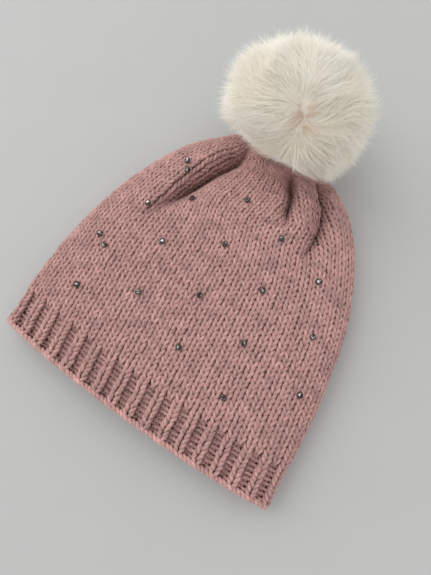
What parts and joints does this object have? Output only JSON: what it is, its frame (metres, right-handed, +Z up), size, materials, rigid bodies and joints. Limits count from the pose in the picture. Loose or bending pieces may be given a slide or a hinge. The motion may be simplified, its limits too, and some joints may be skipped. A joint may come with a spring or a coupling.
{
  "type": "pom pom beanie",
  "caption": "Chunky knit beanie lying flat, with a ribbed hem, small set stones on the front and a fur pom that snaps onto the gathered crown, turns and rocks.",
  "frame": {"origin": "on the flat underside of the hat, under the middle of the cloth, on the surface it lies on", "axes": "+Y from the mouth to the crown, +X to the right seen from above with the crown away, +Z up"},
  "size_m": [0.2231, 0.2925, 0.0998],
  "materials": {
    "yarn": "matt fuzzy knit in dusty pink yarn",
    "fur": "soft long-haired cream fur",
    "hide": "matt suede",
    "felt": "matt felt",
    "stuffing": "loose white fibre",
    "thread": "matt sewing thread",
    "button_plastic": "satin",
    "snap_steel": "bright nickel plate",
    "cup_metal": "dark gunmetal plate",
    "crystal": "cut and polished, grey"
  },
  "bodies": {
    "hat": {"knit_body": "yarn", "ribbed_hem": "yarn", "crown_drawstring": "yarn", "backing_button": "button_plastic", "stone_cup_01": "cup_metal", "stone_cup_02": "cup_metal", "stone_cup_03": "cup_metal", "stone_cup_04": "cup_metal", "stone_cup_05": "cup_metal", "stone_cup_06": "cup_metal", "stone_cup_07": "cup_metal", "stone_cup_08": "cup_metal", "stone_cup_09": "cup_metal", "stone_cup_10": "cup_metal", "stone_cup_11": "cup_metal", "stone_cup_12": "cup_metal", "stone_cup_13": "cup_metal", "stone_cup_14": "cup_metal", "stone_cup_15": "cup_metal", "stone_cup_16": "cup_metal", "stone_cup_17": "cup_metal", "stone_cup_18": "cup_metal", "stone_cup_19": "cup_metal", "stone_cup_20": "cup_metal", "stone_crystal_01": "crystal", "stone_crystal_02": "crystal", "stone_crystal_03": "crystal", "stone_crystal_04": "crystal", "stone_crystal_05": "crystal", "stone_crystal_06": "crystal", "stone_crystal_07": "crystal", "stone_crystal_08": "crystal", "stone_crystal_09": "crystal", "stone_crystal_10": "crystal", "stone_crystal_11": "crystal", "stone_crystal_12": "crystal", "stone_crystal_13": "crystal", "stone_crystal_14": "crystal", "stone_crystal_15": "crystal", "stone_crystal_16": "crystal", "stone_crystal_17": "crystal", "stone_crystal_18": "crystal", "stone_crystal_19": "crystal", "stone_crystal_20": "crystal"},
    "socket": {"thread_shank": "thread", "snap_socket": "snap_steel", "snap_spring": "snap_steel"},
    "stud": {"snap_stud": "snap_steel"},
    "pom": {"pom_base_disc": "felt", "pom_hide": "hide", "pom_draw_thread": "thread", "pom_stuffing": "stuffing", "pom_fur": "fur"}
  },
  "joints": [
    {"name": "pom_tilt", "type": "hinge", "parent": "hat", "child": "socket", "pos_m": [-0.018, 0.104, 0.022], "axis": [1, 0, 0], "range_deg": [0, 18]},
    {"name": "pom_unsnap", "type": "slide", "parent": "socket", "child": "stud", "axis": [0, 0.6428, 0.766], "range_m": [0, 0.045], "deforming": ["snap_spring"]},
    {"name": "pom_spin", "type": "hinge", "parent": "stud", "child": "pom", "pos_m": [-0.018, 0.104, 0.022], "axis": [0, 0.6428, 0.766], "continuous": true}
  ]
}
